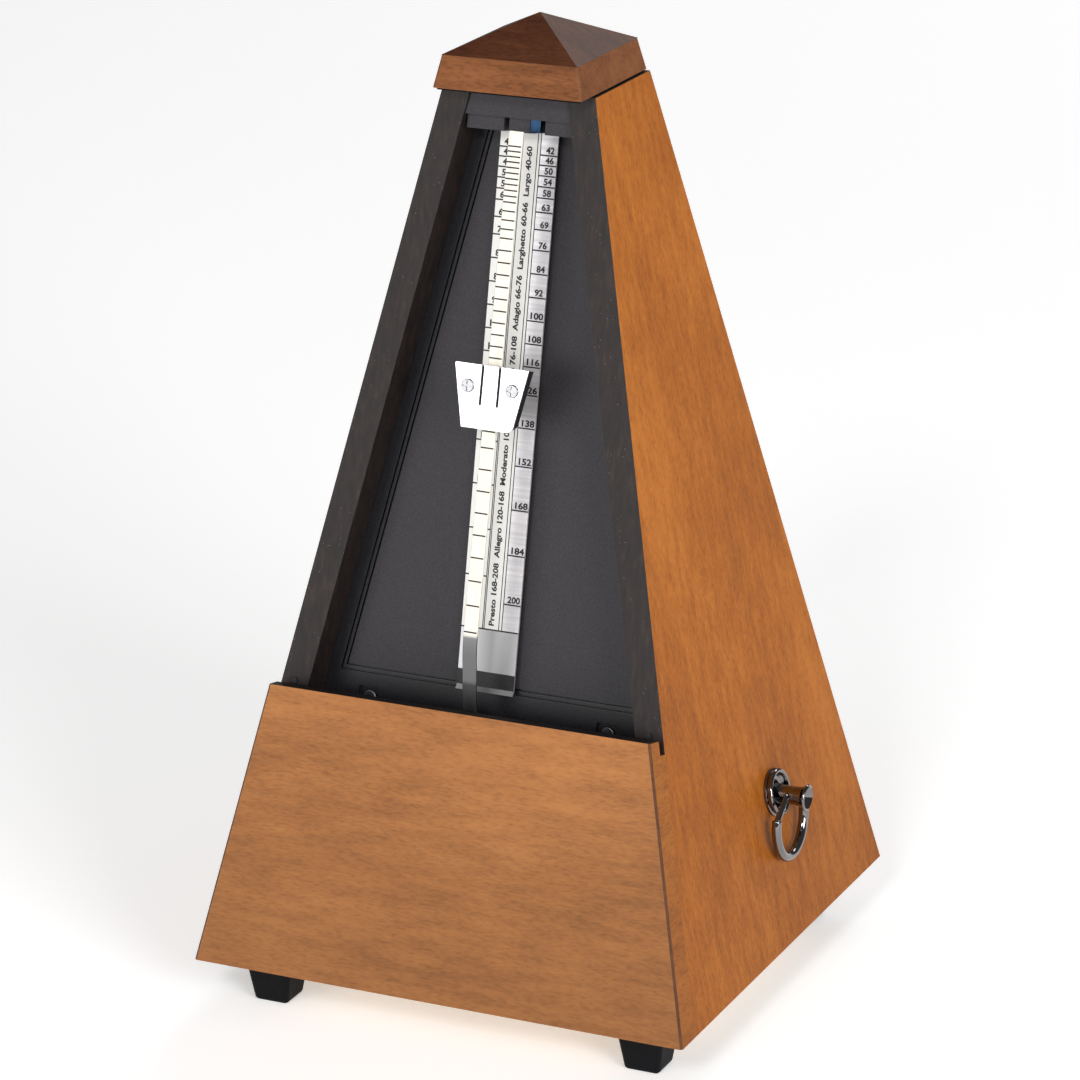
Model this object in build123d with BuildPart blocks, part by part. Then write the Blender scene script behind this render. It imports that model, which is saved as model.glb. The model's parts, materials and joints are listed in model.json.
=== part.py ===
from build123d import *
import os
from math import atan, atan2, cos, degrees, hypot, pi, radians, sin, sqrt

os.makedirs("parts", exist_ok=True)

# A mechanical pyramid metronome, in millimetres. The origin is on the table at the middle
# of the base, +Z is up, the scale faces -Y and the winding key is on the +X side.

# ---- driving dimensions ----
BASE_HALF = 60.0  # half the width of the case at its foot
FOOT_H = 12.0
LEAN_RISE = 0.21338  # how far every face leans in for each millimetre of height
CASE_TOP = 207.9
PANEL_T = 6.7  # side and back panels, measured level
COVER_T = 7.0  # depth at the front that the board fills and the removable cover would fill
BOARD_TOP = 75.9
LIP_T = 4.6  # what is left of the board's top in front of its rabbet
RABBET_H = 4.0
BASE_T = 4.0
KEY_HOLE_R = 2.9
FOOT_PLACE = 46.0  # each foot's middle, from the middle of the base along X and Y

CAP_BOTTOM = 208.4
EAVES_Z = 215.5
APEX_Z = 223.0
CAP_HALF = 17.75
EAVES_HALF = 16.2

FACE_SETBACK = 16.5  # the black face panel, behind the plane of the front
FACE_T = 2.0
FACE_FIT = 0.05  # gap between the side panels and what is fitted between them
FACE_BOTTOM = 64.0
SCALE_SETBACK = 14.8
SCALE_T = 0.5
SCALE_W = 13.9
SCALE_BOTTOM = 76.0
SCALE_TOP = 199.4

PIVOT_Z = 53.0
PARK_TURN = 0.7  # degrees the parked pendulum is turned to the right
ROD_W = 3.3
ROD_T = 0.7
ROD_SETBACK = 3.2
ROD_TOP = 200.2
STEM_Y = -39.9  # middle of the upright stem
STEM_T = 0.8
VERGE_R = 1.0
BOB_Z = 30.5
BOB_R = 12.5

WEIGHT_TOP = 150.6
WEIGHT_H = 14.0
WEIGHT_W_TOP = 17.7
WEIGHT_W_FOOT = 12.2
WEIGHT_SETBACK = 1.75
WEIGHT_PLATE_T = 0.6
WEIGHT_T = 3.4

KEY_Y = 9.3
KEY_Z = 45.6
KEY_TIP_X = 61.4
RING_X = 57.0
RING_DROP = 14.2
RING_HALF = 8.3
RING_TURN = -8.0  # degrees the key was left turned past level
RING_REST = 3.0  # degrees the hanging ring leans out, resting on the leaning side
RING_R = 1.15
ARM_R = 0.75

FRAME_X = 18.0  # inner face of each movement plate
FRAME_T = 1.5
MODULE_1 = 0.8
GREAT_TEETH = 60
PINION_2_TEETH = 12
MODULE_2 = 0.5
WHEEL_2_TEETH = 48
PINION_3_TEETH = 10
ESCAPE_Y = -20.0
ESCAPE_Z = 49.8
ESCAPE_R = 8.5
ESCAPE_TEETH = 15
FIT = 0.05  # radial clearance of a running shaft

# ---- worked out from them ----
LEAN = atan(LEAN_RISE)
GREAT_R = MODULE_1 * GREAT_TEETH / 2
PINION_2_R = MODULE_1 * PINION_2_TEETH / 2
WHEEL_2_R = MODULE_2 * WHEEL_2_TEETH / 2
PINION_3_R = MODULE_2 * PINION_3_TEETH / 2
MESH_1 = GREAT_R + PINION_2_R
MESH_2 = WHEEL_2_R + PINION_3_R
ROD_MID = ROD_SETBACK + ROD_T / cos(LEAN) / 2
RELEASE_Z = FOOT_H + (BASE_HALF - ROD_MID + STEM_Y) / LEAN_RISE  # where the leaning rod meets the upright stem


# ---- places ----
def half(z):
    """Half the width of the outer case at a height."""
    return BASE_HALF - LEAN_RISE * (z - FOOT_H)


def up(z):
    """Distance up a leaning face from the foot of the case to a height."""
    return (z - FOOT_H) / cos(LEAN)


def front_y(setback, z):
    """The y of a plane that lies a level distance behind the front of the case."""
    return setback - half(z)


def front_plane(setback):
    """A plane parallel to the front, local x to the right, local y up the face, normal outward."""
    return Plane(origin=(0, setback - BASE_HALF, FOOT_H), x_dir=(1, 0, 0), z_dir=(0, -cos(LEAN), sin(LEAN)))


def back_plane(setback):
    return Plane(origin=(0, BASE_HALF - setback, FOOT_H), x_dir=(-1, 0, 0), z_dir=(0, cos(LEAN), sin(LEAN)))


def side_plane(side, setback):
    """A plane parallel to the right (side 1) or the left (side -1) face, normal outward."""
    return Plane(
        origin=(side * (BASE_HALF - setback), 0, FOOT_H),
        x_dir=(0, side, 0),
        z_dir=(side * cos(LEAN), 0, sin(LEAN)),
    )


def shaft_plane(x, centre=(0.0, 0.0)):
    """A plane across an arbor that runs along X; centre is its (y, z)."""
    return Plane(origin=(x, centre[0], centre[1]), x_dir=(0, 1, 0), z_dir=(1, 0, 0))


def spun(plane, degrees_left):
    """A plane turned about its own normal."""
    return Plane(plane.location * Location((0, 0, 0), (0, 0, degrees_left)))


def turned(plane):
    """A plane carried round the pendulum's pivot to where the pendulum is parked."""
    turn = Location((0, 0, PIVOT_Z)) * Location((0, 0, 0), (0, PARK_TURN, 0)) * Location((0, 0, -PIVOT_Z))
    return Plane(turn * plane.location)


def leaning_outline(inset, low, high):
    """Corners of a strip of a face between two heights, inset from the edges of the case."""
    foot = half(low) - inset
    head = half(high) - inset
    return [(-foot, up(low)), (foot, up(low)), (head, up(high)), (-head, up(high))]


def finish(piece, label):
    """Name a finished piece and write it to its own file."""
    piece.part.label = label
    export_step(piece.part, f"parts/{label}.step")


WINDING = (KEY_Y, KEY_Z)
ESCAPE = (ESCAPE_Y, ESCAPE_Z)
SPAN = hypot(ESCAPE_Y - KEY_Y, ESCAPE_Z - KEY_Z)
ALONG = (MESH_1**2 - MESH_2**2 + SPAN**2) / (2 * SPAN)
BELOW = sqrt(MESH_1**2 - ALONG**2)
TO_ESCAPE = ((ESCAPE_Y - KEY_Y) / SPAN, (ESCAPE_Z - KEY_Z) / SPAN)
SECOND = (
    KEY_Y + ALONG * TO_ESCAPE[0] - BELOW * TO_ESCAPE[1],
    KEY_Z + ALONG * TO_ESCAPE[1] + BELOW * TO_ESCAPE[0],
)


def bearing_to(start, end):
    """Direction from one arbor to another, in degrees from +Y towards +Z."""
    return degrees(atan2(end[1] - start[1], end[0] - start[0]))


# ---- case ----
for side, label in [(1, "right_side_panel"), (-1, "left_side_panel")]:
    with BuildPart() as panel:
        with BuildSketch(Plane.YZ):
            Polygon(
                (front_y(COVER_T, FOOT_H), FOOT_H),
                (half(FOOT_H), FOOT_H),
                (half(CASE_TOP), CASE_TOP),
                (front_y(COVER_T, CASE_TOP), CASE_TOP),
                align=None,
            )
        extrude(amount=side * BASE_HALF)
        split(bisect_by=side_plane(side, 0), keep=Keep.BOTTOM)
        split(bisect_by=side_plane(side, PANEL_T), keep=Keep.TOP)
        if side == 1:
            with Locations(shaft_plane(BASE_HALF - PANEL_T, WINDING)):
                Cylinder(KEY_HOLE_R, 4 * PANEL_T, mode=Mode.SUBTRACT)
    finish(panel, label)

with BuildPart() as back_panel:
    with BuildSketch(back_plane(0)):
        Polygon(*leaning_outline(0, FOOT_H, CASE_TOP + PANEL_T), align=None)
    extrude(amount=-PANEL_T * cos(LEAN))
    split(bisect_by=side_plane(1, PANEL_T), keep=Keep.BOTTOM)
    split(bisect_by=side_plane(-1, PANEL_T), keep=Keep.BOTTOM)
    split(bisect_by=Plane.XY.offset(FOOT_H), keep=Keep.TOP)
    split(bisect_by=Plane.XY.offset(CASE_TOP), keep=Keep.BOTTOM)
finish(back_panel, "back_panel")

BOARD_BEVEL = 0.5
with BuildPart() as front_board:
    with BuildSketch(front_plane(0)):
        Rectangle(3 * BASE_HALF, 2 * up(BOARD_TOP))
    extrude(amount=-COVER_T * cos(LEAN))
    split(bisect_by=side_plane(1, 0), keep=Keep.BOTTOM)
    split(bisect_by=side_plane(-1, 0), keep=Keep.BOTTOM)
    split(bisect_by=Plane.XY.offset(FOOT_H), keep=Keep.TOP)
    with BuildSketch(front_plane(LIP_T)):
        with Locations((0, up(BOARD_TOP))):
            Rectangle(3 * BASE_HALF, 2 * RABBET_H)
    extrude(amount=-BOARD_BEVEL - COVER_T, mode=Mode.SUBTRACT)
    corners = front_board.edges().filter_by(lambda edge: abs(edge.center().X) > BASE_HALF / 2)
    leaning = corners.filter_by(lambda edge: edge.bounding_box().size.Z > BOARD_TOP - FOOT_H - 0.1)
    chamfer(leaning.group_by(Axis.Y)[0], BOARD_BEVEL)
finish(front_board, "front_board")

FOOT_SCREW_R = 1.0
with BuildPart() as base_board:
    with BuildSketch(Plane.XY.offset(FOOT_H)):
        Rectangle(2 * BASE_HALF, 2 * BASE_HALF)
    extrude(amount=BASE_T)
    split(bisect_by=side_plane(1, PANEL_T), keep=Keep.BOTTOM)
    split(bisect_by=side_plane(-1, PANEL_T), keep=Keep.BOTTOM)
    split(bisect_by=front_plane(COVER_T), keep=Keep.BOTTOM)
    split(bisect_by=back_plane(PANEL_T), keep=Keep.BOTTOM)
    with Locations(Location((0, 0, FOOT_H))):
        with GridLocations(2 * FOOT_PLACE, 2 * FOOT_PLACE, 2, 2):
            Cylinder(FOOT_SCREW_R + 0.1, 4 * BASE_T, mode=Mode.SUBTRACT)
finish(base_board, "base_board")

# Triangular glue blocks tie the four walls to the base board.
BLOCK = 9.0
BLOCK_H = 16.0
with BuildPart() as glue_blocks:
    corner = half(FOOT_H + BASE_T + BLOCK_H) - PANEL_T
    for side in (-1, 1):
        with BuildSketch(Plane.XY.offset(FOOT_H + BASE_T)):
            Polygon(
                (side * corner, corner),
                (side * (corner - BLOCK), corner),
                (side * corner, corner - BLOCK),
                align=None,
            )
        extrude(amount=BLOCK_H)
finish(glue_blocks, "glue_blocks")

LINER_INSET = 0.8
with BuildPart() as cap_liner:
    with BuildSketch(Plane.XY.offset(CASE_TOP)):
        Rectangle(2 * (CAP_HALF - LINER_INSET), 2 * (CAP_HALF - LINER_INSET))
    extrude(amount=CAP_BOTTOM - CASE_TOP)
finish(cap_liner, "cap_liner")

APEX_FLAT = 0.5
CAP_BEVEL = 0.5
with BuildPart() as skirt:
    with BuildSketch(Plane.XY.offset(CAP_BOTTOM)):
        Rectangle(2 * CAP_HALF, 2 * CAP_HALF)
    with BuildSketch(Plane.XY.offset(EAVES_Z)):
        Rectangle(2 * EAVES_HALF, 2 * EAVES_HALF)
    loft()
    corners = skirt.edges().filter_by(lambda edge: edge.bounding_box().size.Z > CAP_BEVEL)
    chamfer(corners, CAP_BEVEL)
with BuildPart() as roof:
    with BuildSketch(Plane.XY.offset(EAVES_Z)):
        Rectangle(2 * EAVES_HALF, 2 * EAVES_HALF)
    with BuildSketch(Plane.XY.offset(APEX_Z)):
        Rectangle(APEX_FLAT, APEX_FLAT)
    loft()
with BuildPart() as cap:
    add(skirt.part)
    add(roof.part)
finish(cap, "cap")

# ---- feet ----
FOOT_TOP_W = 12.0
FOOT_SOLE_W = 8.4
FOOT_ROUND = 1.2
SOLE_ROUND = 1.1
SCREW_SEAT = 4.0  # height of the pocket's floor in a foot's sole
POCKET_R = 2.2
for name_y, sign_y in [("front", -1), ("rear", 1)]:
    for name_x, sign_x in [("left", -1), ("right", 1)]:
        centre = (sign_x * FOOT_PLACE, sign_y * FOOT_PLACE)
        with BuildPart() as foot:
            with BuildSketch(Plane.XY.offset(FOOT_H)):
                with Locations(centre):
                    RectangleRounded(FOOT_TOP_W, FOOT_TOP_W, FOOT_ROUND)
            with BuildSketch(Plane.XY):
                with Locations(centre):
                    RectangleRounded(FOOT_SOLE_W, FOOT_SOLE_W, FOOT_ROUND)
            loft()
            fillet(foot.faces().sort_by(Axis.Z)[0].edges(), SOLE_ROUND)
            with Locations(Location((centre[0], centre[1], 0))):
                Cylinder(POCKET_R, 2 * SCREW_SEAT, mode=Mode.SUBTRACT)
                Cylinder(FOOT_SCREW_R + 0.1, 4 * FOOT_H, mode=Mode.SUBTRACT)
        finish(foot, f"foot_{name_y}_{name_x}")


def screw_at(place, head_r, head_h, shank_r, shank_length, recess="slot"):
    """A screw whose head sits on the plane `place`, its shank going in behind that plane."""
    outward = Axis(place.origin, place.z_dir)
    with BuildPart() as screw:
        with BuildSketch(place):
            Circle(head_r)
        extrude(amount=head_h)
        fillet(screw.edges().group_by(outward)[-1], head_h * 0.5)
        with BuildSketch(place):
            Circle(shank_r)
        extrude(amount=-shank_length)
        with BuildSketch(place.offset(head_h)):
            Rectangle(head_r * 1.5, head_r * 0.26)
            if recess == "cross":
                Rectangle(head_r * 0.26, head_r * 1.5)
                Circle(head_r * 0.3)
        extrude(amount=-head_h * 0.55, mode=Mode.SUBTRACT)
    return screw.part


def screws(places, head_r, head_h, shank_r, shank_length, recess="slot"):
    """A group of equal screws as one piece of several solids."""
    with BuildPart() as group:
        for place in places:
            add(screw_at(place, head_r, head_h, shank_r, shank_length, recess))
    return group


foot_screw_places = []
for sign_x in (-1, 1):
    for sign_y in (-1, 1):
        seat = (sign_x * FOOT_PLACE, sign_y * FOOT_PLACE, SCREW_SEAT)
        foot_screw_places.append(Plane(origin=seat, x_dir=(1, 0, 0), z_dir=(0, 0, -1)))
FOOT_SCREW_HEAD_R = 1.9
FOOT_SCREW_HEAD_H = 1.4
foot_screw_reach = FOOT_H + BASE_T - SCREW_SEAT - 0.4
foot_screws = screws(foot_screw_places, FOOT_SCREW_HEAD_R, FOOT_SCREW_HEAD_H, FOOT_SCREW_R, foot_screw_reach)
finish(foot_screws, "foot_screws")

# ---- face panel, scale and latch ----
GROOVE = 0.45
BORDER = 4.1
LEDGE_Z = 76.6
GROOVE_TOP = 200.0
GROOVE_DEPTH = 0.7
GROOVE_STEP = 1.1
FACE_SHORT = 1.0  # the panel stops this far under the top of the case
NOTCH_X = 29.3
NOTCH_Z = 70.2
NOTCH_W = 5.0
NOTCH_H = 4.6
NOTCH_DEPTH = 1.0
FACE_SCREW_R = 0.85
SPINE_W = 8.0
SPINE_LOW = 78.5
SPINE_HIGH = 198.5
notch_centres = [(-NOTCH_X, up(NOTCH_Z)), (NOTCH_X, up(NOTCH_Z))]
with BuildPart() as face_panel:
    with BuildSketch(front_plane(FACE_SETBACK)):
        Polygon(*leaning_outline(PANEL_T + FACE_FIT, FACE_BOTTOM, CASE_TOP - FACE_SHORT), align=None)
    extrude(amount=-FACE_T)
    for step in (0.0, GROOVE_STEP):
        inset = PANEL_T + BORDER - step
        with BuildSketch(front_plane(FACE_SETBACK)):
            Polygon(*leaning_outline(inset, LEDGE_Z - step, GROOVE_TOP), align=None)
            inner = leaning_outline(inset + GROOVE, LEDGE_Z - step + GROOVE, GROOVE_TOP - GROOVE)
            Polygon(*inner, align=None, mode=Mode.SUBTRACT)
        extrude(amount=-GROOVE_DEPTH, mode=Mode.SUBTRACT)
    with BuildSketch(front_plane(FACE_SETBACK)):
        with Locations((0, up((SPINE_LOW + SPINE_HIGH) / 2))):
            Rectangle(SPINE_W, up(SPINE_HIGH) - up(SPINE_LOW))
    extrude(amount=(FACE_SETBACK - SCALE_SETBACK) * cos(LEAN) - SCALE_T)
    with BuildSketch(front_plane(FACE_SETBACK)):
        with Locations(*notch_centres):
            Rectangle(NOTCH_W, NOTCH_H)
    extrude(amount=-NOTCH_DEPTH, mode=Mode.SUBTRACT)
    with Locations(front_plane(FACE_SETBACK)):
        with Locations(*notch_centres):
            Cylinder(FACE_SCREW_R + 0.05, 4 * FACE_T, mode=Mode.SUBTRACT)
finish(face_panel, "face_panel")

face_screw_places = []
for centre in notch_centres:
    seat = front_plane(FACE_SETBACK).offset(-NOTCH_DEPTH)
    face_screw_places.append(Plane(seat * Pos(*centre)))
FACE_SCREW_HEAD_R = 1.7
FACE_SCREW_HEAD_H = 0.8
FACE_SCREW_REACH = 6.0
face_screws = screws(face_screw_places, FACE_SCREW_HEAD_R, FACE_SCREW_HEAD_H, FACE_SCREW_R, FACE_SCREW_REACH)
finish(face_screws, "face_screws")

# Two plastic battens behind the face panel take its screws and tie it to the side panels.
BATTEN_W = 8.0
BATTEN_T = 5.5
with BuildPart() as face_battens:
    with BuildSketch(front_plane(FACE_SETBACK).offset(-FACE_T)):
        with Locations(*notch_centres):
            Rectangle(BATTEN_W, BATTEN_W)
    extrude(amount=-BATTEN_T)
    with Locations(front_plane(FACE_SETBACK)):
        with Locations(*notch_centres):
            Cylinder(FACE_SCREW_R + 0.01, 3 * BATTEN_T, mode=Mode.SUBTRACT)
finish(face_battens, "face_battens")

LIP_OUT = 0.7
LIP_DROP = 0.9
with BuildPart() as scale_plate:
    with BuildSketch(Plane.YZ):
        back = SCALE_SETBACK + SCALE_T / cos(LEAN)
        knee = SCALE_BOTTOM + LIP_DROP
        Polygon(
            (front_y(SCALE_SETBACK, SCALE_TOP), SCALE_TOP),
            (front_y(SCALE_SETBACK, knee), knee),
            (front_y(SCALE_SETBACK - LIP_OUT, SCALE_BOTTOM), SCALE_BOTTOM),
            (front_y(back - LIP_OUT, SCALE_BOTTOM - 0.1), SCALE_BOTTOM - 0.1),
            (front_y(back, knee - 0.1), knee - 0.1),
            (front_y(back, SCALE_TOP), SCALE_TOP),
            align=None,
        )
    extrude(amount=SCALE_W / 2, both=True)
finish(scale_plate, "scale_plate")

LATCH_SETBACK = 7.6
FINGER_SETBACK = 8.7
BRIDGE_LOW = 201.9
FINGER_LOW = 198.9
BRIDGE_SHORT = 0.6  # the bridge stops this far under the top of the case
FINGER_T = 4.0
FINGERS = [(-12.5, -3.7), (-2.4, 2.6), (6.2, 12.5)]  # left and right side of each
with BuildPart() as latch_bridge:
    with BuildSketch(front_plane(LATCH_SETBACK)):
        Polygon(*leaning_outline(PANEL_T + FACE_FIT, BRIDGE_LOW, CASE_TOP - BRIDGE_SHORT), align=None)
    extrude(amount=-(FACE_SETBACK - LATCH_SETBACK) * cos(LEAN) + 0.02)
    with BuildSketch(front_plane(FINGER_SETBACK)):
        for left, right in FINGERS:
            with Locations(((left + right) / 2, up((FINGER_LOW + BRIDGE_LOW) / 2))):
                Rectangle(right - left, up(BRIDGE_LOW + 0.4) - up(FINGER_LOW))
    extrude(amount=-FINGER_T)
finish(latch_bridge, "latch_bridge")

# A folded spring clip beside the middle finger grips the parked rod.
CLIP_X = 3.9
CLIP_W = 2.3
CLIP_H = 2.7
CLIP_DROP = 0.25  # its top, square to the fingers' own plane, comes just under the bridge
with BuildPart() as latch_clip:
    with BuildSketch(front_plane(FINGER_SETBACK)):
        with Locations((CLIP_X, up(BRIDGE_LOW) - CLIP_H / 2 - CLIP_DROP)):
            Rectangle(CLIP_W, CLIP_H)
    extrude(amount=-0.9 * FINGER_T)
finish(latch_clip, "latch_clip")

# Two small pins near the foot of the front edges locate the removable cover.
PIN_Z = 74.9
PIN_R = 0.7
PIN_OUT = 0.5
pin_places = []
for side in (-1, 1):
    edge_middle = half(PIN_Z) - PANEL_T / 2
    pin_places.append(Plane(front_plane(COVER_T) * Pos(side * edge_middle, up(PIN_Z))))
with BuildPart() as cover_pins:
    for place in pin_places:
        with BuildSketch(place):
            Circle(PIN_R)
        extrude(amount=PIN_OUT)
finish(cover_pins, "cover_pins")

# ---- pendulum ----
FLAT = turned(Plane(origin=(0, 0, 0), x_dir=(1, 0, 0), z_dir=(0, -1, 0)))  # local y up the stem


def stem_plane(y):
    """A plane across the pivot's axis, local y up the parked stem, normal to the front."""
    return FLAT.offset(-y)


HUB_R = 3.2
STEM_FOOT = 27.0
RIVET_R = 0.9
JOIN_GAP = 0.2  # the rod stops this far above the bend, and the stem this far below it
with BuildPart() as pendulum_stem:
    with BuildSketch(stem_plane(STEM_Y + STEM_T / 2)):
        with Locations((0, (RELEASE_Z - JOIN_GAP + STEM_FOOT) / 2)):
            Rectangle(ROD_W, RELEASE_Z - JOIN_GAP - STEM_FOOT)
        with Locations((0, PIVOT_Z)):
            Circle(HUB_R)
    extrude(amount=STEM_T)
    with Locations(stem_plane(STEM_Y)):
        with Locations((0, PIVOT_Z)):
            Cylinder(VERGE_R, 4 * STEM_T, mode=Mode.SUBTRACT)
        with Locations((0, BOB_Z)):
            Cylinder(RIVET_R, 4 * STEM_T, mode=Mode.SUBTRACT)
finish(pendulum_stem, "pendulum_stem")

rod_foot = RELEASE_Z + JOIN_GAP
rod_back = ROD_SETBACK + ROD_T / cos(LEAN)
with BuildPart() as pendulum_rod:
    with BuildSketch(turned(Plane.YZ)):
        Polygon(
            (front_y(ROD_SETBACK, ROD_TOP), ROD_TOP),
            (front_y(ROD_SETBACK, rod_foot), rod_foot),
            (front_y(rod_back, rod_foot), rod_foot),
            (front_y(rod_back, ROD_TOP), ROD_TOP),
            align=None,
        )
    extrude(amount=ROD_W / 2, both=True)
finish(pendulum_rod, "pendulum_rod")

FRONT_DISC_T = 5.4  # thin enough for its rim to pass behind the leaning board as it swings
REAR_DISC_T = 3.9
DISC_BEVEL = 0.6
STEM_GAP = 0.05
bob_front = STEM_Y - STEM_T / 2 - STEM_GAP - FRONT_DISC_T
with BuildPart() as counterweight:
    for front, thick in [(bob_front, FRONT_DISC_T), (STEM_Y + STEM_T / 2, REAR_DISC_T)]:
        with BuildSketch(stem_plane(front)):
            with Locations((0, BOB_Z)):
                Circle(BOB_R)
                Circle(RIVET_R, mode=Mode.SUBTRACT)
        extrude(amount=-thick)
    rims = counterweight.edges().filter_by(GeomType.CIRCLE)
    chamfer(rims.filter_by(lambda edge: edge.radius > BOB_R / 2), DISC_BEVEL)
finish(counterweight, "counterweight")

RIVET_HEAD = 0.4
with BuildPart() as bob_rivet:
    with BuildSketch(stem_plane(bob_front - RIVET_HEAD)):
        with Locations((0, BOB_Z)):
            Circle(2 * RIVET_R)
    extrude(amount=-RIVET_HEAD)
    with BuildSketch(stem_plane(bob_front)):
        with Locations((0, BOB_Z)):
            Circle(RIVET_R - 0.02)
    extrude(amount=-(FRONT_DISC_T + STEM_T + REAR_DISC_T))
finish(bob_rivet, "bob_rivet")

VERGE_FRONT = STEM_Y - 1.5
VERGE_REAR = -6.4
COLLAR_R = HUB_R - 0.6
COLLAR_T = 2.6
with BuildPart() as verge_arbor:
    with BuildSketch(stem_plane(VERGE_FRONT)):
        with Locations((0, PIVOT_Z)):
            Circle(VERGE_R)
    extrude(amount=-(VERGE_REAR - VERGE_FRONT))
finish(verge_arbor, "verge_arbor")

with BuildPart() as pendulum_hub:
    with BuildSketch(stem_plane(STEM_Y + STEM_T / 2)):
        with Locations((0, PIVOT_Z)):
            Circle(COLLAR_R)
            Circle(VERGE_R, mode=Mode.SUBTRACT)
    extrude(amount=-COLLAR_T)
finish(pendulum_hub, "pendulum_hub")

PALLET_REACH = 2.7
PALLET_W = 3.0
PALLET_T = 0.7
PALLET_HUB_R = 1.7
PALLET_SPREAD = 50.0
reach_y = sqrt((ESCAPE_R - 0.4) ** 2 - (PIVOT_Z - ESCAPE_Z) ** 2)
with BuildPart() as pallets:
    for sign in (-1, 1):
        with BuildSketch(stem_plane(ESCAPE_Y + sign * reach_y - PALLET_W / 2)):
            with Locations((0, PIVOT_Z)):
                Circle(PALLET_HUB_R)
            with Locations(Location((0, PIVOT_Z), 180 - sign * PALLET_SPREAD)):
                with Locations((PALLET_REACH / 2, 0)):
                    Rectangle(PALLET_REACH, PALLET_T)
            with Locations((0, PIVOT_Z)):
                Circle(VERGE_R, mode=Mode.SUBTRACT)
        extrude(amount=-PALLET_W)
finish(pallets, "pallets")

# ---- sliding weight ----
weight_front = turned(front_plane(WEIGHT_SETBACK))
weight_back_of_plate = weight_front.offset(-WEIGHT_PLATE_T)
TOP_V = up(WEIGHT_TOP)
FOOT_V = TOP_V - WEIGHT_H


def weight_outline(shrink):
    """Corners of the weight's tapering outline; shrink pulls it in on every side."""
    return [
        (-WEIGHT_W_TOP / 2 + shrink, TOP_V - shrink),
        (WEIGHT_W_TOP / 2 - shrink, TOP_V - shrink),
        (WEIGHT_W_FOOT / 2 - shrink, FOOT_V + shrink),
        (-WEIGHT_W_FOOT / 2 + shrink, FOOT_V + shrink),
    ]


SLOT_X = 2.05
SLOT_W = 0.6
SLOT_L = 8.9
RIVET_X = 5.3
RIVET_V = TOP_V - 4.9
CLAMP_R = 1.0  # shank of the screws that hold plate to body
FOOT_ROUND_R = 1.7  # round lower corners of the weight's plate
HEAD_ROUND_R = 0.3
BODY_INSET = 0.35  # the body shows this much less than the plate all round
BODY_ROUND_R = 1.5
CLAMP_DEPTH = 2.0
SADDLE_H = 3.4  # only this much of the body's top closes round the back of the rod
with BuildPart() as weight_plate:
    with BuildSketch(weight_front):
        Polygon(*weight_outline(0), align=None)
    extrude(amount=-WEIGHT_PLATE_T)
    upright = weight_plate.edges().filter_by(lambda e: abs(e.length - WEIGHT_PLATE_T) < 0.01)
    fillet(upright.group_by(Axis.Z)[0], FOOT_ROUND_R)
    upright = weight_plate.edges().filter_by(lambda e: abs(e.length - WEIGHT_PLATE_T) < 0.01)
    fillet(upright.group_by(Axis.Z)[-1], HEAD_ROUND_R)
    with BuildSketch(weight_front):
        with Locations((-SLOT_X, TOP_V - SLOT_L / 2 + 0.5), (SLOT_X, TOP_V - SLOT_L / 2 + 0.5)):
            SlotOverall(SLOT_L + 1.0, SLOT_W, rotation=90)
        with Locations((-RIVET_X, RIVET_V), (RIVET_X, RIVET_V)):
            Circle(CLAMP_R)
    extrude(amount=-WEIGHT_PLATE_T, mode=Mode.SUBTRACT)
finish(weight_plate, "weight_plate")

channel_half = ROD_W / 2 + FIT + 0.03
channel_floor = (ROD_SETBACK - WEIGHT_SETBACK) * cos(LEAN) + ROD_T + FIT + 0.03
with BuildPart() as weight_body:
    with BuildSketch(weight_back_of_plate):
        Polygon(*weight_outline(BODY_INSET), align=None)
    extrude(amount=-(WEIGHT_T - WEIGHT_PLATE_T))
    upright = weight_body.edges().filter_by(lambda e: abs(e.length - (WEIGHT_T - WEIGHT_PLATE_T)) < 0.01)
    fillet(upright.group_by(Axis.Z)[0], BODY_ROUND_R)
    with BuildSketch(weight_front):
        with Locations((0, TOP_V - WEIGHT_H / 2)):
            Rectangle(2 * channel_half, 2 * WEIGHT_H)
    extrude(amount=-channel_floor, mode=Mode.SUBTRACT)
    with BuildSketch(weight_front):
        with Locations((0, FOOT_V)):
            Rectangle(2 * channel_half, 2 * (WEIGHT_H - SADDLE_H))
    extrude(amount=-2 * WEIGHT_T, mode=Mode.SUBTRACT)
    with BuildSketch(weight_back_of_plate):
        with Locations((-RIVET_X, RIVET_V), (RIVET_X, RIVET_V)):
            Circle(CLAMP_R)
    extrude(amount=-CLAMP_DEPTH, mode=Mode.SUBTRACT)
finish(weight_body, "weight_body")

# A leaf between plate and rod makes the weight stay where it is slid to.
with BuildPart() as weight_leaf:
    with BuildSketch(turned(Plane.YZ)):
        leaf_front = WEIGHT_SETBACK + WEIGHT_PLATE_T / cos(LEAN)
        leaf_top = WEIGHT_TOP - 0.6
        Polygon(
            (front_y(leaf_front, leaf_top), leaf_top),
            (front_y(leaf_front, leaf_top - 4.0), leaf_top - 4.0),
            (front_y(ROD_SETBACK - 0.1, leaf_top - 2.4), leaf_top - 2.4),
            (front_y(ROD_SETBACK - 0.1, leaf_top - 1.2), leaf_top - 1.2),
            align=None,
        )
    extrude(amount=1.5, both=True)
finish(weight_leaf, "weight_leaf")

weight_screw_places = []
for sign in (-1, 1):
    weight_screw_places.append(Plane(weight_front * Pos(sign * RIVET_X, RIVET_V)))
CLAMP_HEAD_R = 1.5
CLAMP_HEAD_H = 0.4
CLAMP_REACH = 2.3
weight_screws = screws(
    weight_screw_places, CLAMP_HEAD_R, CLAMP_HEAD_H, CLAMP_R - 0.02, CLAMP_REACH, recess="cross"
)
finish(weight_screws, "weight_screws")

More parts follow.
